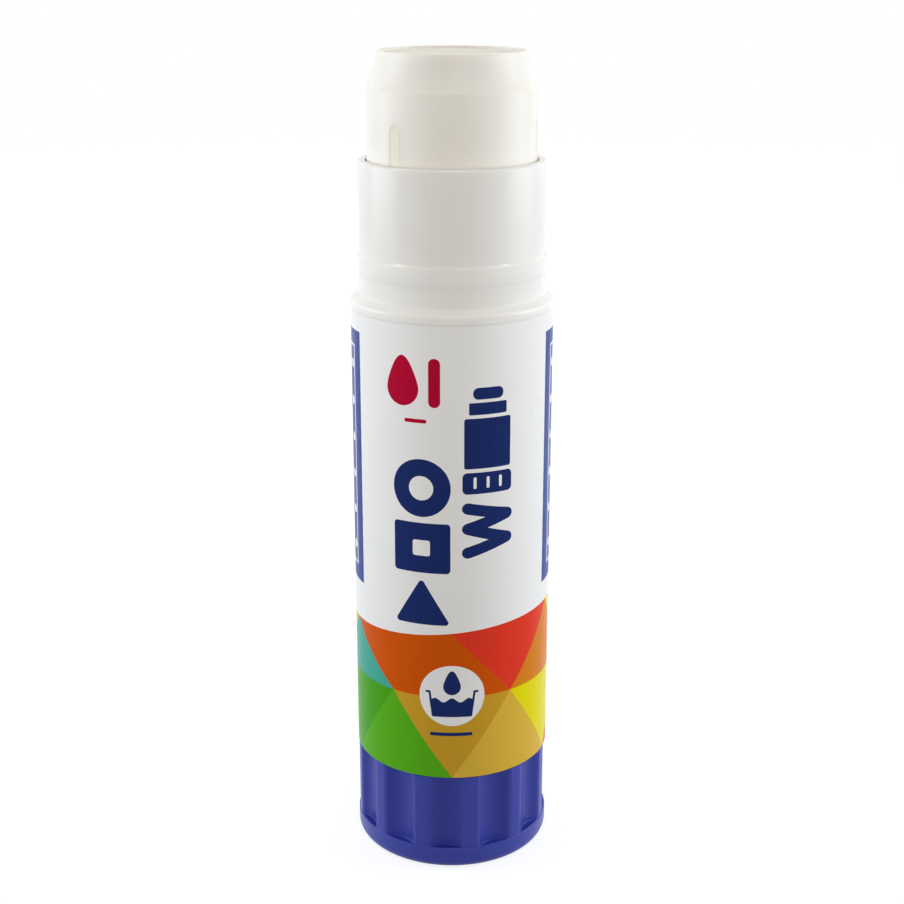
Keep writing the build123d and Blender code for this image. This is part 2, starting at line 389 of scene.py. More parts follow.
def ink(colour, *shapes):
    """Prints shapes in one ink over what is already there, as far as the sheet reaches."""
    for shape in shapes:
        on_sheet = trim(trim([tuple(map(float, p)) for p in shape], sheet_left, 1), sheet_right, -1)
        if len(on_sheet) > 2:
            printed.append((colour, on_sheet))


# The colour band: a mosaic of triangles in two rows between a wavy edge and the knob. The inks of
# each row are named from the front to the right, two to each pitch, and on round the back.
upper_inks = ["orange", "red", "amber", "yellow", "leaf", "green", "sky", "straw", "teal", "orange"]
lower_inks = ["gold", "straw", "yellow", "orange", "teal", "sky", "yellow", "leaf", "green", "leaf"]
pitch = at(360 / FACETS)
for step in range(-FACETS, FACETS + 2):
    middle = step * pitch / 2
    left, right = middle - pitch / 2, middle + pitch / 2
    upper, lower = upper_inks[step % (2 * FACETS)], lower_inks[step % (2 * FACETS)]
    if step % 2:
        wave = [(x, band_edge(x)) for x in np.linspace(right, left, 25)]
        ink(upper, [(middle, BAND_MIDDLE), *wave])
        ink(lower, [(left, BARREL_FOOT), (right, BARREL_FOOT), (middle, BAND_MIDDLE)])
    else:
        ink(upper, [(left, BAND_MIDDLE), (right, BAND_MIDDLE), (middle, band_edge(middle))])
        ink(lower, [(middle, BARREL_FOOT), (right, BAND_MIDDLE), (left, BAND_MIDDLE)])

# A white roundel with a wash tub, water and a drop, and a short rule below it.
ink("film_white", disc(0, 25.6, 4.3))
shares = np.linspace(0, 1, 41)
water = [(2.78 - 5.56 * s, 25.0 + 0.3 * math.sin(s * 2.5 * math.tau)) for s in shares]
ink("navy", [(-2.5, 22.8), (2.5, 22.8), *water])
tub = [(-3.35, 26.15), (-2.95, 26.15), (-2.5, 22.75), (2.5, 22.75), (2.95, 26.15), (3.35, 26.15)]
ink("navy", *ribbon(tub, 0.3))
ink("navy", drop(0, 25.75, 1.15, 3.4))
ink("navy", slab(-2.9, 19.85, 2.7, 20.35, 0.2))

# A crimson drop and bar over a thin crimson rule.
ink("crimson", drop(-6.4, 64.4, 2.2, 6.4), slab(-2.95, 64.4, -1.45, 70.6, 0.72))
ink("crimson", slab(-6.1, 62.35, -3.2, 62.85, 0.2))

# The right-hand column in navy: an open glue stick above a zigzag trail of glue.
ink("navy", slab(1.3, 53.2, 7.9, 56.0, 0.6), slab(1.5, 56.5, 7.7, 63.0, 0.3))
ink("navy", slab(2.1, 63.45, 7.1, 65.0, 0.2), slab(2.6, 65.4, 6.6, 66.9, 0.7))
for x in (2.9, 4.6, 6.3):
    ink("film_white", slab(x - 0.2, 53.9, x + 0.2, 55.4, 0.15))
trail = [(2.0, 51.3), (7.3, 50.2), (2.0, 48.6), (7.3, 47.0), (2.0, 45.4)]
ink("navy", *ribbon(trail, 1.5))

# The left-hand column in navy: ring, tile and triangle, as cut from paper.
ink("navy", disc(-3.95, 53.9, 3.8))
ink("film_white", disc(-3.95, 53.9, 1.6))
ink("navy", slab(-7.7, 42.6, -0.2, 49.3, 0.5))
ink("film_white", slab(-5.1, 44.9, -2.8, 47.0, 0.3))
ink("navy", soften([(-7.75, 35.5, 0.4), (-0.15, 35.5, 0.4), (-3.95, 41.9, 0.4)], 6))

# A blue panel on each side, with a white frame line round six white rules that end in dots.
PANEL_SPANS = ((-152, -63), (65, 155))
PANEL_FOOT = 38.5
PANEL_TOP = 72.3
FRAME_INSET = 2.0
FRAME_LINE = 0.3
RULE_FOOT = 43.1
RULE_STEP = 4.92
RULE_REACH = 5.2
DOT_REACH = 7.0
DOT_RADIUS = 0.62
for low, high in PANEL_SPANS:
    ink("panel_blue", slab(at(low), PANEL_FOOT, at(high), PANEL_TOP))
    for inset, colour in ((FRAME_INSET, "film_white"), (FRAME_INSET + FRAME_LINE, "panel_blue")):
        ink(colour, slab(at(low) + inset, PANEL_FOOT + inset, at(high) - inset, PANEL_TOP - inset))
    middle = at((low + high) / 2)
    for row in range(6):
        z = RULE_FOOT + RULE_STEP * row
        ink("film_white", slab(middle - RULE_REACH, z - 0.25, middle + RULE_REACH, z + 0.25, 0.2))
        for side in (-1, 1):
            ink("film_white", disc(middle + side * DOT_REACH, z, DOT_RADIUS, 32))

# The flat sheet: every outline becomes an edge, and fine upright lines let it bend round.
points, edges = [], []


def draw(line, closed=True):
    """Adds a line of points to the sheet's edges."""
    first = len(points)
    points.extend(line)
    count = len(line)
    runs = count if closed else count - 1
    edges.extend((first + i, first + (i + 1) % count) for i in range(runs))


draw(slab(sheet_left, BARREL_FOOT, sheet_right, WRAP_TOP))
for x in np.arange(sheet_left, sheet_right, at(360 / WRAP_COLUMNS))[1:]:
    draw([(x, BARREL_FOOT), (x, WRAP_TOP)], closed=False)
for colour, shape in printed:
    draw(shape)
flat, _, faces, *_ = delaunay_2d_cdt(points, edges, [], 0, WELD)
flat = np.array(flat)
corners = np.array([face[:3] for face in faces])
middles = flat[corners].mean(axis=1)


def inside(shape, where):
    """Which of these places lie within a closed shape."""
    hit = np.zeros(len(where), bool)
    for (x0, z0), (x1, z1) in zip(shape, shape[1:] + shape[:1]):
        if z0 == z1:
            continue
        crosses = (z0 > where[:, 1]) != (z1 > where[:, 1])
        hit ^= crosses & (where[:, 0] < (x1 - x0) * (where[:, 1] - z0) / (z1 - z0) + x0)
    return hit


face_ink = np.full(len(corners), "film_white", dtype="<U16")
for colour, shape in printed:
    face_ink[inside(shape, middles)] = colour
wrap = mesh_object("printed_wrap", [(x, z, 0) for x, z in flat], corners.tolist())
colours = wrap.data.color_attributes.new("ink", "FLOAT_COLOR", "CORNER")
values = {name: linear(value) for name, value in INKS.items()}
colours.data.foreach_set("color", [v for name in face_ink for _ in range(3) for v in values[name]])


def group_with(name, sockets):
    """An empty Geometry Nodes tree with a mesh in, a mesh out and named inputs for its sizes."""
    tree = bpy.data.node_groups.new(name, "GeometryNodeTree")
    tree.interface.new_socket("Geometry", in_out="OUTPUT", socket_type="NodeSocketGeometry")
    tree.interface.new_socket("Geometry", in_out="INPUT", socket_type="NodeSocketGeometry")
    for label, kind in sockets.items():
        tree.interface.new_socket(label, in_out="INPUT", socket_type=f"NodeSocket{kind}")
    return tree, node(tree, "NodeGroupInput").outputs


def close_group(tree, result, material_socket):
    """Ends a tree in real geometry with its material."""
    real = node(tree, "GeometryNodeRealizeInstances", (result,))
    painted = node(tree, "GeometryNodeSetMaterial", {"Geometry": real, "Material": material_socket})
    node(tree, "NodeGroupOutput", (painted,))


def settle(piece):
    """Keeps what a piece's modifiers show as its plain mesh, and removes them."""
    shown = piece.evaluated_get(bpy.context.evaluated_depsgraph_get())
    mesh = bpy.data.meshes.new_from_object(shown)
    piece.modifiers.clear()
    mesh.name = piece.name
    piece.data = mesh


def grow(piece, tree, values):
    """Runs a tree on a piece with the given sizes and keeps the result."""
    modifier = piece.modifiers.new(tree.name, "NODES")
    modifier.node_group = tree
    sockets = {s.name: s.identifier for s in tree.interface.items_tree if s.in_out == "INPUT"}
    for label, value in values.items():
        modifier[sockets[label]] = value
    settle(piece)


tree, given = group_with(
    "wind_sheet_round_tube",
    {"Radius": "Float", "Thickness": "Float", "Lap start": "Float", "Lap rise": "Float",
     "Lap lift": "Float", "Material": "Material"},
)
spot = node(tree, "ShaderNodeSeparateXYZ", (node(tree, "GeometryNodeInputPosition"),))
outer = node(tree, MATH, (given["Radius"], given["Thickness"]), operation="ADD")
angle = node(tree, MATH, (spot.outputs["X"], outer), operation="DIVIDE")
lap_end = node(tree, MATH, (given["Lap start"], given["Lap rise"]), operation="ADD")
lap = node(
    tree,
    "ShaderNodeMapRange",
    {"Value": angle, 1: given["Lap start"], 2: lap_end, 3: 0.0, 4: given["Lap lift"]},
    interpolation_type="SMOOTHSTEP",
)
reach = node(tree, MATH, (given["Radius"], lap), operation="ADD")
ahead = node(tree, MATH, (reach, -1.0), operation="MULTIPLY")
at_front = node(tree, "ShaderNodeCombineXYZ", {"Y": ahead, "Z": spot.outputs["Y"]})
wound = node(
    tree, "ShaderNodeVectorRotate", {"Vector": at_front, "Angle": angle}, rotation_type="Z_AXIS"
)
inner_face = node(tree, "GeometryNodeSetPosition", {"Geometry": given[0], "Position": wound})
outer_face = node(
    tree,
    "GeometryNodeExtrudeMesh",
    {"Mesh": inner_face, "Offset Scale": given["Thickness"], "Individual": False},
    mode="FACES",
)
turned_over = node(tree, "GeometryNodeFlipFaces", (inner_face,))
both = node(tree, "GeometryNodeJoinGeometry", {0: [turned_over, outer_face]})
welded = node(tree, "GeometryNodeMergeByDistance", {0: both, "Distance": WELD * MM})
close_group(tree, welded, given["Material"])

# Printed film: solid inks from the sheet's own colours under a thin gloss lacquer, which gives
# the eye clean flat colour with a soft sheen. The white is the bare film.
film = bpy.data.materials.new("printed_gloss_film")
film.use_nodes = True
paint = film.node_tree
paint.nodes.clear()
place = node(paint, "ShaderNodeTexCoord").outputs["Object"]
inks = node(paint, "ShaderNodeAttribute", attribute_name="ink")
drift = node(
    paint, "ShaderNodeTexNoise", {"Vector": place, "Scale": per(FILM_FLOW_MM), "Detail": 3.0}
)
# Ink lies a little uneven, in specks of about 0.15 mm, drawn at 0.3 mm so that they show.
speck = node(paint, "ShaderNodeTexNoise", {"Vector": place, "Scale": per(SPECK_MM), "Detail": 1.0})
low, high = NOISE_SPREAD
uneven = node(paint, "ShaderNodeMapRange", {"Value": speck, 1: low, 2: high, 3: 0.985, 4: 1.01})
coloured = node(paint, "ShaderNodeVectorMath", {0: inks, "Scale": uneven}, operation="SCALE")
along = node(paint, "ShaderNodeMapping", {"Vector": place, "Scale": (1, 1, SCUFF_STRETCH)})
streak = node(paint, "ShaderNodeTexNoise", {"Vector": along, "Scale": per(SCUFF_MM), "Detail": 1.0})
onset, whole = SCUFF_ONSET
scuff = node(paint, "ShaderNodeMapRange", {"Value": streak, 1: onset, 2: whole, 3: 0.0, 4: 0.05})
gloss = node(paint, "ShaderNodeMapRange", {"Value": drift, 1: low, 2: high, 3: 0.24, 4: 0.34})
scuffed = node(paint, MATH, (gloss, scuff), operation="ADD")
bump = node(paint, "ShaderNodeBump", {"Height": drift, "Strength": 0.1, "Distance": BUMP_RISE * MM})
body = node(
    paint,
    "ShaderNodeBsdfPrincipled",
    {"Base Color": coloured, "Roughness": scuffed, "Normal": bump, "IOR": 1.49,
     "Specular IOR Level": 0.06},
)
node(paint, "ShaderNodeOutputMaterial", (body,))
grow(
    wrap,
    tree,
    {"Radius": WRAP_RADIUS * MM, "Thickness": WRAP_THICKNESS * MM,
     "Lap start": math.radians(WRAP_LAP_START), "Lap rise": math.radians(WRAP_LAP_RISE),
     "Lap lift": WRAP_LAP_LIFT * MM, "Material": film},
)


def point_outwards(piece, nearly_radial=0.9):
    """Gives the round faces of a thin sleeve normals that point straight out from the axis."""
    mesh = piece.data
    normals = []
    for face in mesh.polygons:
        for corner in face.vertices:
            radial = mesh.vertices[corner].co.copy()
            radial.z = 0
            radial.normalize()
            across = face.normal.dot(radial)
            on_side = abs(across) > nearly_radial
            normals.append(tuple(radial * math.copysign(1, across) if on_side else face.normal))
    mesh.shade_smooth()
    mesh.normals_split_custom_set(normals)


point_outwards(wrap)
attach(wrap, "barrel")
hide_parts("label_film")

# Guide tube: a second moulded polypropylene tube, thinner and a little warmer, inside the barrel.
# Its nose tapers to the mouth, and three slots, open at its foot, guide the carriage.
TUBE_RADIUS = 10.65
TUBE_BORE = 9.55
TUBE_FOOT = 6.2
NOSE_ROOT = 101.8
STICK_TOP = 106.3
NOSE_TIP_RADIUS = 9.25
NOSE_HOLLOW = 0.19
MOUTH_RADIUS = 8.9
MOUTH_LAND = 1.3
THRUST_STEP = 14.1
SEAT_BORE = 9.9
SNAP_HEIGHT = 9.0
SNAP_HALF = 0.7
SNAP_CREST = 0.245
SNAP_DEPTH = 0.45
FLANGE_FOOT = 13.85
FLANGE_TOP = 15.85
FLANGE_RADIUS = 11.75
FLANGE_BEAD = 0.25
FLANGE_BEAD_HALF = 0.4
FLANGE_BEAD_CREST = 0.14
COLLAR_FOOT = 73.5
COLLAR_TOP = 74.9
SLOT_COUNT = 3
SLOT_WIDTH = 1.4
SLOT_TOP = 98.0
SLOT_ANGLE = math.radians(-130.5)
RING_ROOT = 10.6
CUT_OVERRUN = 1


def bars_round_axis(name, operation, round_top=False):
    """A tree that sets upright bars round the axis, and cuts them from a piece or adds them."""
    tree, given = group_with(
        name,
        {"Count": "Int", "First angle": "Float", "Inner": "Float", "Outer": "Float",
         "Width": "Float", "Foot": "Float", "Top": "Float", "Material": "Material"},
    )
    half = node(tree, MATH, (given["Width"], 0.5), operation="MULTIPLY")
    other_half = node(tree, MATH, (given["Width"], -0.5), operation="MULTIPLY")
    top = given["Top"]
    if round_top:
        top = node(tree, MATH, (top, half), operation="SUBTRACT")
    low = node(tree, "ShaderNodeCombineXYZ", (given["Inner"], other_half, given["Foot"]))
    high = node(tree, "ShaderNodeCombineXYZ", (given["Outer"], half, top))
    size = node(tree, "ShaderNodeVectorMath", (high, low), operation="SUBTRACT")
    total = node(tree, "ShaderNodeVectorMath", (high, low), operation="ADD")
    middle = node(tree, "ShaderNodeVectorMath", {0: total, "Scale": 0.5}, operation="SCALE")
    box = node(tree, "GeometryNodeMeshCube", {"Size": size})
    shapes = [node(tree, "GeometryNodeTransform", {0: box, "Translation": middle})]
    if round_top:
        length = node(tree, "ShaderNodeSeparateXYZ", (size,)).outputs["X"]
        centre = node(tree, "ShaderNodeSeparateXYZ", (middle,)).outputs["X"]
        end = node(
            tree, "GeometryNodeMeshCylinder", {"Vertices": 32, "Radius": half, "Depth": length}
        )
        end_place = node(tree, "ShaderNodeCombineXYZ", {"X": centre, "Z": top})
        shapes.append(
            node(
                tree,
                "GeometryNodeTransform",
                {0: end, "Translation": end_place, "Rotation": (0, math.pi / 2, 0)},
            )
        )
    spots = node(tree, "GeometryNodePoints", {"Count": given["Count"]})
    step = node(tree, MATH, (math.tau, given["Count"]), operation="DIVIDE")
    index = node(tree, "GeometryNodeInputIndex")
    heading = node(tree, MATH, (index, step, given["First angle"]), operation="MULTIPLY_ADD")
    turn = node(tree, "ShaderNodeCombineXYZ", {"Z": heading})
    copies = []
    for shape in shapes:
        placed = node(
            tree,
            "GeometryNodeInstanceOnPoints",
            {"Points": spots, "Instance": shape, "Rotation": turn},
        )
        copies.append(node(tree, "GeometryNodeRealizeInstances", (placed,)))
    meshes = {"Mesh 1": given[0], "Mesh 2": copies}
    if operation == "UNION":
        meshes = {"Mesh 2": [given[0], *copies]}
    joined = node(tree, "GeometryNodeMeshBoolean", meshes, operation=operation, solver="EXACT")
    close_group(tree, joined, given["Material"])
    return tree


def add_bodies(piece, *others):
    """Fuses other turned solids into a piece."""
    for other in others:
        fuse = piece.modifiers.new("fuse", "BOOLEAN")
        fuse.operation = "UNION"
        fuse.solver = "EXACT"
        fuse.object = other
    settle(piece)
    for other in others:
        bpy.data.objects.remove(other)


def bowed(start, end, rise, steps=12):
    """Points between two outline points on a shallow arc that stands out to the right by rise."""
    start, end = np.array(start, float), np.array(end, float)
    run = end - start
    outward = np.array((run[1], -run[0])) / np.linalg.norm(run)
    shares = np.arange(1, steps) / steps
    return [tuple(start + run * s + outward * rise * 4 * s * (1 - s)) for s in shares]


nose = bowed((TUBE_RADIUS, NOSE_ROOT), (NOSE_TIP_RADIUS, STICK_TOP), -NOSE_HOLLOW)
tube_outline = soften(
    [
        (SEAT_BORE, TUBE_FOOT, 0.15),
        (TUBE_RADIUS, TUBE_FOOT, 0.25),
        (TUBE_RADIUS, SNAP_HEIGHT - SNAP_HALF),
        (TUBE_RADIUS + SNAP_DEPTH, SNAP_HEIGHT - SNAP_CREST),
        (TUBE_RADIUS + SNAP_DEPTH, SNAP_HEIGHT + SNAP_CREST),
        (TUBE_RADIUS, SNAP_HEIGHT + SNAP_HALF),
        (TUBE_RADIUS, NOSE_ROOT, 0.12),
        *nose,
        (NOSE_TIP_RADIUS, STICK_TOP, 0.14),
        (MOUTH_RADIUS, STICK_TOP, 0.08),
        (MOUTH_RADIUS, STICK_TOP - MOUTH_LAND),
        (TUBE_BORE, NOSE_ROOT),
        (TUBE_BORE, THRUST_STEP),
        (SEAT_BORE, THRUST_STEP),
    ]
)
tube = spin("guide_tube", tube_outline)
# Satin white polypropylene, a little warmer: the thin wall lets light through, so its shade is
# soft. The mouth's lip is polished by paper.
tube_plastic = moulded(
    "satin_warm_white_moulded_polypropylene",
    "#FAF7F1",
    "#F7F2E9",
    (0.26, 0.34),
    {"IOR": 1.49, "Specular IOR Level": 0.3, "Subsurface Weight": 0.5,
     "Subsurface Radius": (1, 1, 1), "Subsurface Scale": 1.2 * MM},
    flow_mm=9,
    grain_mm=0.6,
    grain=0.06,
    wear_and_sheen={"by": "height", "start": 105.9, "full": 106.25, "share": 0.8, "colour": "#F3EFE6",
         "roughness": 0.2},
)
grow(
    tube,
    bars_round_axis("slots_cut_in_tube", "DIFFERENCE", round_top=True),
    {"Count": SLOT_COUNT, "First angle": SLOT_ANGLE, "Inner": (TUBE_BORE - CUT_OVERRUN) * MM,
     "Outer": (TUBE_RADIUS + CUT_OVERRUN) * MM, "Width": SLOT_WIDTH * MM,
     "Foot": (TUBE_FOOT - CUT_OVERRUN) * MM, "Top": SLOT_TOP * MM, "Material": tube_plastic},
)
middle = (FLANGE_FOOT + FLANGE_TOP) / 2
flange = spin(
    "flange",
    [
        (RING_ROOT, FLANGE_FOOT),
        (FLANGE_RADIUS, FLANGE_FOOT),
        (FLANGE_RADIUS, middle - FLANGE_BEAD_HALF),
        (FLANGE_RADIUS + FLANGE_BEAD, middle - FLANGE_BEAD_CREST),
        (FLANGE_RADIUS + FLANGE_BEAD, middle + FLANGE_BEAD_CREST),
        (FLANGE_RADIUS, middle + FLANGE_BEAD_HALF),
        (FLANGE_RADIUS, FLANGE_TOP),
        (RING_ROOT, FLANGE_TOP),
    ],
)
collar = spin(
    "collar",
    [
        (RING_ROOT, COLLAR_FOOT),
        (FLANGE_RADIUS, COLLAR_FOOT),
        (FLANGE_RADIUS, COLLAR_TOP),
        (RING_ROOT, COLLAR_TOP),
    ],
)
add_bodies(tube, flange, collar)
shade(tube)
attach(tube, "barrel")
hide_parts("inner_tube")

# Glue: a cast stick of soap and polymer gel, waxy, off-white and slightly translucent, set round
# the carriage's fins, with a blind bore for the screw. What filled the guide tube's slots has
# dried there as a skin.
GLUE_RADIUS = 8.7
GLUE_TOP = 106.0
CROWN_RADIUS = 6.0
CROWN_RISE = (0.02, 0.05)
GLUE_FOOT = 17.8
GLUE_BORE = 3.4
GLUE_BORE_TOP = 101.4
BOSS_BORE = 4.62
BOSS_TOP = 22.62
FIN_COUNT = 4
FIN_WIDTH = 0.84
FIN_TOP = 20.42
glue_outline = soften(
    [
        (BOSS_BORE, GLUE_FOOT),
        (GLUE_RADIUS, GLUE_FOOT),
        (GLUE_RADIUS, GLUE_TOP, 0.4),
        (CROWN_RADIUS, GLUE_TOP + CROWN_RISE[0]),
        (0, GLUE_TOP + CROWN_RISE[1]),
        (0, GLUE_BORE_TOP),
        (GLUE_BORE, GLUE_BORE_TOP),
        (GLUE_BORE, BOSS_TOP),
        (BOSS_BORE, BOSS_TOP),
    ]
)
glue = spin("glue_core", glue_outline, steps=192)
# Waxy gel: off-white, with a soft glow below the surface and a skin that dulls and yellows a
# little where it meets the air at the top.
glue_gel = moulded(
    "waxy_glue_gel",
    "#F6F3EB",
    "#F0EBDF",
    (0.3, 0.42),
    {"IOR": 1.45, "Specular IOR Level": 0.3, "Subsurface Weight": 0.8,
     "Subsurface Radius": (1, 0.9, 0.7), "Subsurface Scale": 2.5 * MM},
    flow_mm=5,
    grain_mm=0.9,
    grain=0.2,
    wear_and_sheen={"by": "height", "start": 104.0, "full": 106.0, "share": 0.6, "colour": "#F0EADA",
         "roughness": 0.45},
)
grow(
    glue,
    bars_round_axis("pockets_round_fins", "DIFFERENCE"),
    {"Count": FIN_COUNT, "First angle": SLOT_ANGLE, "Inner": (BOSS_BORE - CUT_OVERRUN) * MM,
     "Outer": (GLUE_RADIUS + CUT_OVERRUN) * MM, "Width": FIN_WIDTH * MM,
     "Foot": (GLUE_FOOT - CUT_OVERRUN) * MM, "Top": FIN_TOP * MM, "Material": glue_gel},
)
shade(glue)
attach(glue, "carriage")
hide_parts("glue")

# The dry skin in each slot is thin, and the carriage's keys pass beneath it.
SKIN_BACK = 10.52
SKIN_FACE = 10.6
SKIN_FOOT = 90.0
SKIN_GRIP = 0.02
# Dried glue: dull cream and no longer clear, a little darker than the tube on either side of it.
# Towards the top of each slot it turns darker and yellower.
dried_glue = moulded(
    "dull_dried_glue",
    "#F5F1E4",
    "#F0EAD9",
    (0.42, 0.52),
    {"IOR": 1.45, "Specular IOR Level": 0.3},
    flow_mm=3,
    grain_mm=0.5,
    grain=0.1,
    wear_and_sheen={"by": "height", "start": 96.5, "full": 98.0, "share": 0.3, "colour": "#E6DDC6",
         "roughness": 0.5},
)
skin = mesh_object("glue_in_slots", [], [])
grow(
    skin,
    bars_round_axis("glue_dried_in_slots", "UNION", round_top=True),
    {"Count": SLOT_COUNT, "First angle": SLOT_ANGLE, "Inner": SKIN_BACK * MM,
     "Outer": SKIN_FACE * MM, "Width": (SLOT_WIDTH + 2 * SKIN_GRIP) * MM, "Foot": SKIN_FOOT * MM,
     "Top": (SLOT_TOP + SKIN_GRIP) * MM, "Material": dried_glue},
)
shade(skin)
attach(skin, "barrel")

# Carriage and lead screw: both are moulded in natural polypropylene, milky and unpigmented, and
# run dry on each other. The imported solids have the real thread, nut, keys and fins, so they stay.

# Natural polypropylene: milky and waxy, with duller flanks where the nut has run on the thread.
natural_plastic = moulded(
    "natural_moulded_polypropylene",
    "#E9E7DF",
    "#DEDBD0",
    (0.3, 0.42),
    {"IOR": 1.49, "Specular IOR Level": 0.5, "Subsurface Weight": 0.4,
     "Subsurface Radius": (1, 0.95, 0.85), "Subsurface Scale": 1.2 * MM},
    flow_mm=6,
    grain_mm=0.45,
    grain=0.06,
    wear_and_sheen={"by": "radius", "start": 2.4, "full": 3.1, "share": 0.5, "colour": "#E2DFD5",
         "roughness": 0.5},
)
for part in ("carriage", "lead_screw"):
    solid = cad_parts[part]
    solid.data.materials.clear()
    solid.data.materials.append(natural_plastic)

# Twist knob: a blue polypropylene moulding with twelve shallow scallops between narrow ridges and
# a plain rounded rim below them. Inside are a skirt that snaps over the guide tube's foot, ribs,
# and the hub that holds the screw's square shank.
KNOB_TOP = 13.6
KNOB_RADIUS = 13.045
GRIP_RADIUS = 12.95
RIM_TOP = 3.1
RIM_BEVEL = 0.15
FOOT_ROUND = 1.3
RECESS_RADIUS = 9.0
RECESS_DEPTH = 0.6
FLUTE_COUNT = 12
FLUTE_DEPTH = 1.0
FLUTE_ROUND = 3.6
FLUTE_ANGLE = math.radians(-93.5)
RIDGE_BLEND = 0.7
FLUTE_FOOT_ROUND = 0.15
TOP_ROUND = 0.18
GRIP_STRAIGHT_FOOT = 4.2
GRIP_ROWS = 10
LEDGE_INSET = 0.02
LEDGE_RISE = 0.05
SKIRT_BORE = 10.85
SKIRT_BEVEL = 0.55
SNAP_GROOVE_DEPTH = 0.5
SNAP_GROOVE_HALF = 0.8
SNAP_GROOVE_CREST = 0.28
FLOOR_TOP = 2.2
HUB_RADIUS = 3.6
HUB_TOP = 12.6
RIB_COUNT = 6
RIB_WIDTH = 0.9
RIB_TOP = 5.9
RIB_ROOT = 0.5
RIB_TIP = 0.1
SOCKET_WIDTH = 3.5
SOCKET_FOOT = 3.9
quarter = [math.radians(a) for a in range(0, 91, 15)]
ledge_cap = KNOB_RADIUS - RIM_BEVEL - LEDGE_INSET
# Each grip row: height, what its scallops stand out by, and the radius that caps its ridges.
grip_rows = [(RIM_TOP, FLUTE_FOOT_ROUND, ledge_cap)]
for a in quarter[1:]:
    rise = FLUTE_FOOT_ROUND * (1 - math.cos(a))
    cap = ledge_cap + (GRIP_RADIUS - ledge_cap) * min(1.0, rise / LEDGE_RISE)
    grip_rows.append((RIM_TOP + rise, FLUTE_FOOT_ROUND * (1 - math.sin(a)), cap))
straight = np.linspace(GRIP_STRAIGHT_FOOT, KNOB_TOP - TOP_ROUND, GRIP_ROWS)
grip_rows += [(z, 0.0, GRIP_RADIUS) for z in straight]
for a in quarter[1:]:
    inset = TOP_ROUND * (1 - math.cos(a))
    grip_rows.append((KNOB_TOP - TOP_ROUND + TOP_ROUND * math.sin(a), -inset, GRIP_RADIUS - inset))
lower = soften(
    [
        (0, RECESS_DEPTH),
        (RECESS_RADIUS, RECESS_DEPTH, 0.15),
        (RECESS_RADIUS, 0, 0.15),
        (KNOB_RADIUS, 0, FOOT_ROUND),
        (KNOB_RADIUS, RIM_TOP - RIM_BEVEL),
        (KNOB_RADIUS - RIM_BEVEL, RIM_TOP),
    ],
    steps=10,
)
inner = [
    (SKIRT_BORE + SKIRT_BEVEL, KNOB_TOP),
    (SKIRT_BORE, KNOB_TOP - SKIRT_BEVEL),
    (SKIRT_BORE, SNAP_HEIGHT + SNAP_GROOVE_HALF),
    (SKIRT_BORE + SNAP_GROOVE_DEPTH, SNAP_HEIGHT + SNAP_GROOVE_CREST),
    (SKIRT_BORE + SNAP_GROOVE_DEPTH, SNAP_HEIGHT - SNAP_GROOVE_CREST),
    (SKIRT_BORE, SNAP_HEIGHT - SNAP_GROOVE_HALF),
    (SKIRT_BORE, FLOOR_TOP),
    (HUB_RADIUS, FLOOR_TOP),
    (HUB_RADIUS, HUB_TOP),
    (0, HUB_TOP),
]
knob_outline = lower + [(cap, z) for z, _, cap in grip_rows] + inner
KNOB_STEPS = 480
knob = spin("twist_grip", knob_outline, KNOB_STEPS)
stand_off, ridge_cap = [], []
for index, (radius, _) in enumerate(knob_outline):
    copies = 1 if radius == 0 else KNOB_STEPS
    row = index - len(lower)
    on_grip = 0 <= row < len(grip_rows)
    stand_off += [grip_rows[row][1] * MM if on_grip else 0.0] * copies
    ridge_cap += [grip_rows[row][2] * MM if on_grip else 0.0] * copies
for label, numbers in (("stand_off", stand_off), ("ridge_cap", ridge_cap)):
    knob.data.attributes.new(label, "FLOAT", "POINT").data.foreach_set("value", numbers)

tree, given = group_with(
    "scallop_grip",
    {"Count": "Int", "First angle": "Float", "Scallop radius": "Float", "Scallop centre": "Float",
     "Ridge blend": "Float", "Material": "Material"},
)
spot = node(tree, "ShaderNodeSeparateXYZ", (node(tree, "GeometryNodeInputPosition"),))
lead = node(tree, "GeometryNodeInputNamedAttribute", {"Name": "stand_off"}, data_type="FLOAT")
cap = node(tree, "GeometryNodeInputNamedAttribute", {"Name": "ridge_cap"}, data_type="FLOAT")
heading = node(tree, MATH, (spot.outputs["Y"], spot.outputs["X"]), operation="ARCTAN2")
half_step = node(tree, MATH, (math.pi, given["Count"]), operation="DIVIDE")
back_step = node(tree, MATH, (half_step, -1.0), operation="MULTIPLY")
from_first = node(tree, MATH, (heading, given["First angle"]), operation="SUBTRACT")
local = node(tree, MATH, (from_first, half_step, back_step), operation="WRAP")
sine, cosine = (node(tree, MATH, (local,), operation=kind) for kind in ("SINE", "COSINE"))
across = node(tree, MATH, (given["Scallop centre"], sine), operation="MULTIPLY")
along = node(tree, MATH, (given["Scallop centre"], cosine), operation="MULTIPLY")
# The scallop's wall is the near side of a circle: the root of radius squared less across squared.
square = node(tree, MATH, (given["Scallop radius"], given["Scallop radius"]), operation="MULTIPLY")
taken = node(tree, MATH, (across, across), operation="MULTIPLY")
left_over = node(tree, MATH, (square, taken), operation="SUBTRACT")
room = node(tree, MATH, (left_over, 0.0), operation="MAXIMUM")
chord = node(tree, MATH, (room,), operation="SQRT")
scallop = node(tree, MATH, (along, chord), operation="SUBTRACT")
outward = node(tree, MATH, (scallop, lead), operation="ADD")
reach = node(tree, MATH, (outward, cap, given["Ridge blend"]), operation="SMOOTH_MIN")
on_axis = node(tree, "ShaderNodeCombineXYZ", {"X": reach, "Z": spot.outputs["Z"]})
moved = node(
    tree, "ShaderNodeVectorRotate", {"Vector": on_axis, "Angle": heading}, rotation_type="Z_AXIS"
)
on_grip = node(tree, MATH, (cap, 0.0), operation="GREATER_THAN")
shaped = node(
    tree, "GeometryNodeSetPosition", {"Geometry": given[0], "Selection": on_grip, "Position": moved}
)
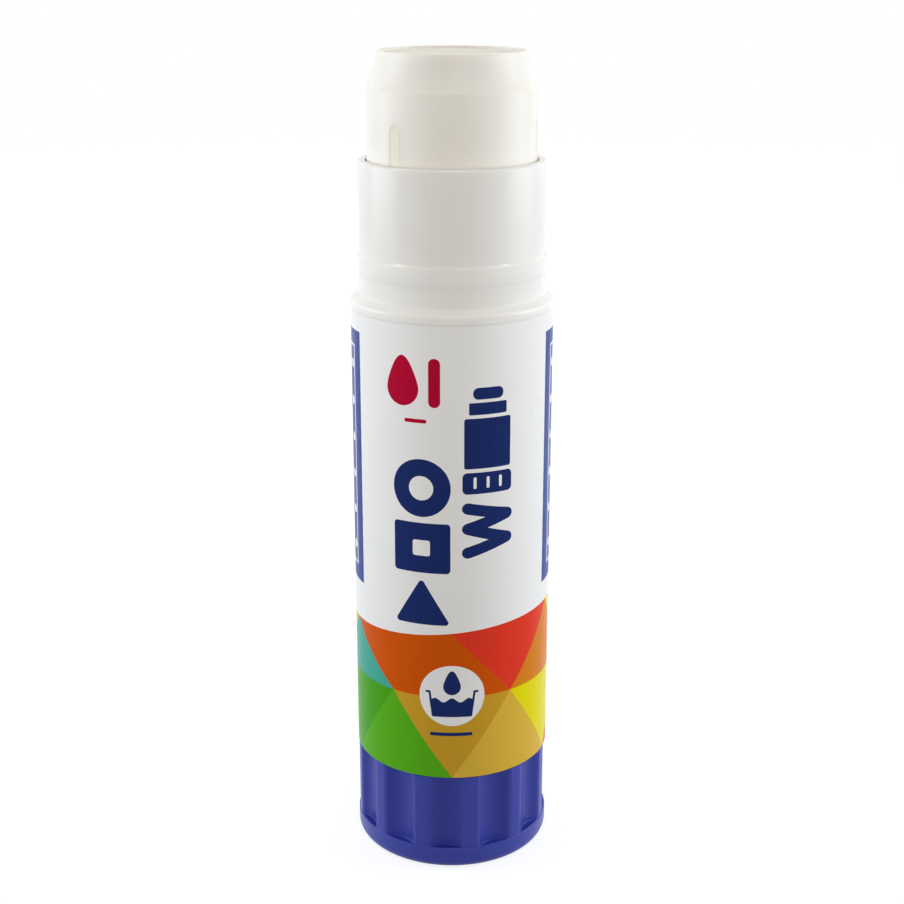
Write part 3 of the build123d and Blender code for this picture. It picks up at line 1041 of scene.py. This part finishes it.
close_group(tree, shaped, given["Material"])

# Satin blue polypropylene from a finely etched mould: deep colour with a soft sheen, and a
# smoother line along each ridge where fingers grip; the rim is smoother too. The lighter colour
# on both is partly wear and partly painted highlight.
knob_plastic = moulded(
    "satin_blue_moulded_polypropylene",
    "#2A3597",
    "#2E399F",
    (0.34, 0.44),
    {"IOR": 1.49, "Specular IOR Level": 0.3, "Subsurface Weight": 0.05,
     "Subsurface Radius": (0.4, 0.5, 1), "Subsurface Scale": 0.5 * MM},
    flow_mm=6,
    grain_mm=0.35,
    grain=0.1,
    wear_and_sheen={"by": "radius", "start": 12.6, "full": 12.9, "share": 0.38, "colour": "#4450BC",
         "roughness": 0.26},
)
grow(
    knob,
    tree,
    {"Count": FLUTE_COUNT, "First angle": FLUTE_ANGLE, "Scallop radius": FLUTE_ROUND * MM,
     "Scallop centre": (GRIP_RADIUS - FLUTE_DEPTH + FLUTE_ROUND) * MM,
     "Ridge blend": RIDGE_BLEND * MM, "Material": knob_plastic},
)
grow(
    knob,
    bars_round_axis("ribs_under_floor", "UNION"),
    {"Count": RIB_COUNT, "First angle": FLUTE_ANGLE, "Inner": (HUB_RADIUS - RIB_ROOT) * MM,
     "Outer": (SKIRT_BORE + RIB_TIP) * MM, "Width": RIB_WIDTH * MM,
     "Foot": (FLOOR_TOP - RIB_ROOT) * MM, "Top": RIB_TOP * MM, "Material": knob_plastic},
)
grow(
    knob,
    bars_round_axis("square_socket", "DIFFERENCE"),
    {"Count": 1, "First angle": 0.0, "Inner": -SOCKET_WIDTH / 2 * MM,
     "Outer": SOCKET_WIDTH / 2 * MM, "Width": SOCKET_WIDTH * MM, "Foot": SOCKET_FOOT * MM,
     "Top": (HUB_TOP + CUT_OVERRUN) * MM, "Material": knob_plastic},
)
shade(knob)
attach(knob, "knob")
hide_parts("twist_knob")

# Studio and camera: a pale floor that fades into a white surround, softboxes at the sides and
# behind, soft lamps above, and the camera at the photograph's height and tilt. Sizes here are in
# metres, but for the floor's radius.
FLOOR_RADIUS = 1200
FLOOR_SIDES = 96
FLOOR_FADE = (0.25, 0.9)
FLOOR_PALE = "#A0A4AA"
FLOOR_LIFT = (0.8, 1.0)
LIFT_REACH = (0.12, 0.35)
HORIZON = 1.06
ZENITH = 0.05
ZENITH_RISE = 0.9
ROOM_LIGHT = "#FFF7EC"
SIDE_LIGHT = "#EBF4FF"
TOP_LIGHT = "#FFFCF4"
scene = bpy.context.scene
scene.view_settings.view_transform = "Standard"


def rays_to_eye(tree):
    """One for rays to the camera, straight, off a gloss or through something clear, else nought."""
    ray = node(tree, "ShaderNodeLightPath")
    kinds = [ray.outputs[f"Is {kind} Ray"] for kind in ("Camera", "Glossy", "Transmission")]
    seen = node(tree, MATH, kinds[:2], operation="MAXIMUM")
    return node(tree, MATH, (seen, kinds[2]), operation="MAXIMUM")


world = bpy.data.worlds.new("white_surround")
world.use_nodes = True
tree = world.node_tree
tree.nodes.clear()
direction = node(tree, "ShaderNodeTexCoord").outputs["Generated"]
height = node(tree, "ShaderNodeSeparateXYZ", (direction,)).outputs["Z"]
above = node(
    tree,
    "ShaderNodeMapRange",
    {"Value": height, 1: 0.0, 2: ZENITH_RISE, 3: HORIZON, 4: ZENITH},
    interpolation_type="SMOOTHSTEP",
)
room = node(tree, "ShaderNodeBackground", {"Color": linear(ROOM_LIGHT), "Strength": above})
white = node(tree, "ShaderNodeBackground", {"Color": (1, 1, 1, 1), "Strength": 1.0})
sky = node(tree, "ShaderNodeMixShader", (rays_to_eye(tree), room, white))
node(tree, "ShaderNodeOutputWorld", (sky,))
scene.world = world

rim = [(x, y, 0) for x, y in disc(0, 0, FLOOR_RADIUS, FLOOR_SIDES)]
floor = mesh_object("studio_floor", rim, [tuple(range(FLOOR_SIDES))])
floor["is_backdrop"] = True
pale = bpy.data.materials.new("pale_studio_floor")
pale.use_nodes = True
tree = pale.node_tree
tree.nodes.clear()
spot = node(tree, "ShaderNodeTexCoord").outputs["Object"]
away = node(tree, "ShaderNodeVectorMath", {0: spot}, operation="LENGTH").outputs["Value"]
fade = node(
    tree,
    "ShaderNodeMapRange",
    {"Value": away, 1: FLOOR_FADE[0], 2: FLOOR_FADE[1]},
    interpolation_type="SMOOTHSTEP",
)
# To the eye the floor is lifted to white, a little less near the stick, so that its shade shows.
glow = node(
    tree,
    "ShaderNodeMapRange",
    {"Value": away, 1: LIFT_REACH[0], 2: LIFT_REACH[1], 3: FLOOR_LIFT[0], 4: FLOOR_LIFT[1]},
    interpolation_type="SMOOTHSTEP",
)
lifted = node(tree, MATH, (rays_to_eye(tree), glow), operation="MULTIPLY")
matt = node(tree, "ShaderNodeBsdfDiffuse", {"Color": linear(FLOOR_PALE)})
lift = node(tree, "ShaderNodeEmission", {"Color": (1, 1, 1, 1), "Strength": lifted})
lit = node(tree, "ShaderNodeAddShader", (matt, lift))
clear = node(tree, "ShaderNodeBsdfTransparent")
mixed = node(tree, "ShaderNodeMixShader", (fade, lit, clear))
node(tree, "ShaderNodeOutputMaterial", (mixed,))
floor.data.materials.append(pale)


def softbox(name, azimuth, distance, height, width, tall, watts, colour, tilt=90):
    """A rectangular lamp that faces the stick from one side, or is tilted down at it."""
    data = bpy.data.lights.new(name, "AREA")
    data.shape = "RECTANGLE"
    data.size, data.size_y = width, tall
    data.energy = watts
    data.color = linear(colour)[:3]
    lamp = bpy.data.objects.new(name, data)
    turn = math.radians(azimuth)
    lamp.location = (distance * math.sin(turn), -distance * math.cos(turn), height)
    lamp.rotation_euler = (math.radians(tilt), 0, turn)
    scene.collection.objects.link(lamp)


# Each lamp: name, azimuth from the front, distance, height, width, tallness, watts and colour.
softbox("softbox_left", -92, 0.6, 0.2, 0.45, 0.35, 1.85, SIDE_LIGHT)
softbox("softbox_right", 92, 0.6, 0.2, 0.45, 0.35, 1.95, SIDE_LIGHT)
softbox("softbox_rear_left", -135, 0.6, 0.2, 0.3, 0.35, 0.2, SIDE_LIGHT)
softbox("softbox_rear_right", 135, 0.6, 0.2, 0.3, 0.35, 0.2, SIDE_LIGHT)
softbox("soft_top_front", 0, 0.3, 0.5, 0.25, 0.25, 0.16, TOP_LIGHT, tilt=35)
softbox("soft_top_back", 180, 0.3, 0.5, 0.25, 0.25, 0.3, TOP_LIGHT, tilt=35)
# Small lamps leave the short glints on the nose's root, the bead and the neck's rim.
softbox("small_lamp_left", -102, 0.42, 0.64, 0.05, 0.05, 0.4, TOP_LIGHT, tilt=37)
softbox("small_lamp_right", 102, 0.42, 0.64, 0.05, 0.05, 0.4, TOP_LIGHT, tilt=37)
softbox("small_lamp_front", 14, 0.6, 0.42, 0.03, 0.03, 0.3, TOP_LIGHT, tilt=60)

# The place, tilt and lens were fitted to the circles of the stick in the photograph.
CAMERA_PLACE = (0, -0.2002, 0.11796)
CAMERA_TILT = 17.53
CAMERA_LENS = 63.36
camera_data = bpy.data.cameras.new("camera")
camera_data.lens = CAMERA_LENS
camera_data.sensor_width = 36
camera_data.clip_start = 0.01
camera = bpy.data.objects.new("camera", camera_data)
camera.location = CAMERA_PLACE
camera.rotation_euler = (math.radians(90 - CAMERA_TILT), 0, 0)
scene.collection.objects.link(camera)
scene.camera = camera

low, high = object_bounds()
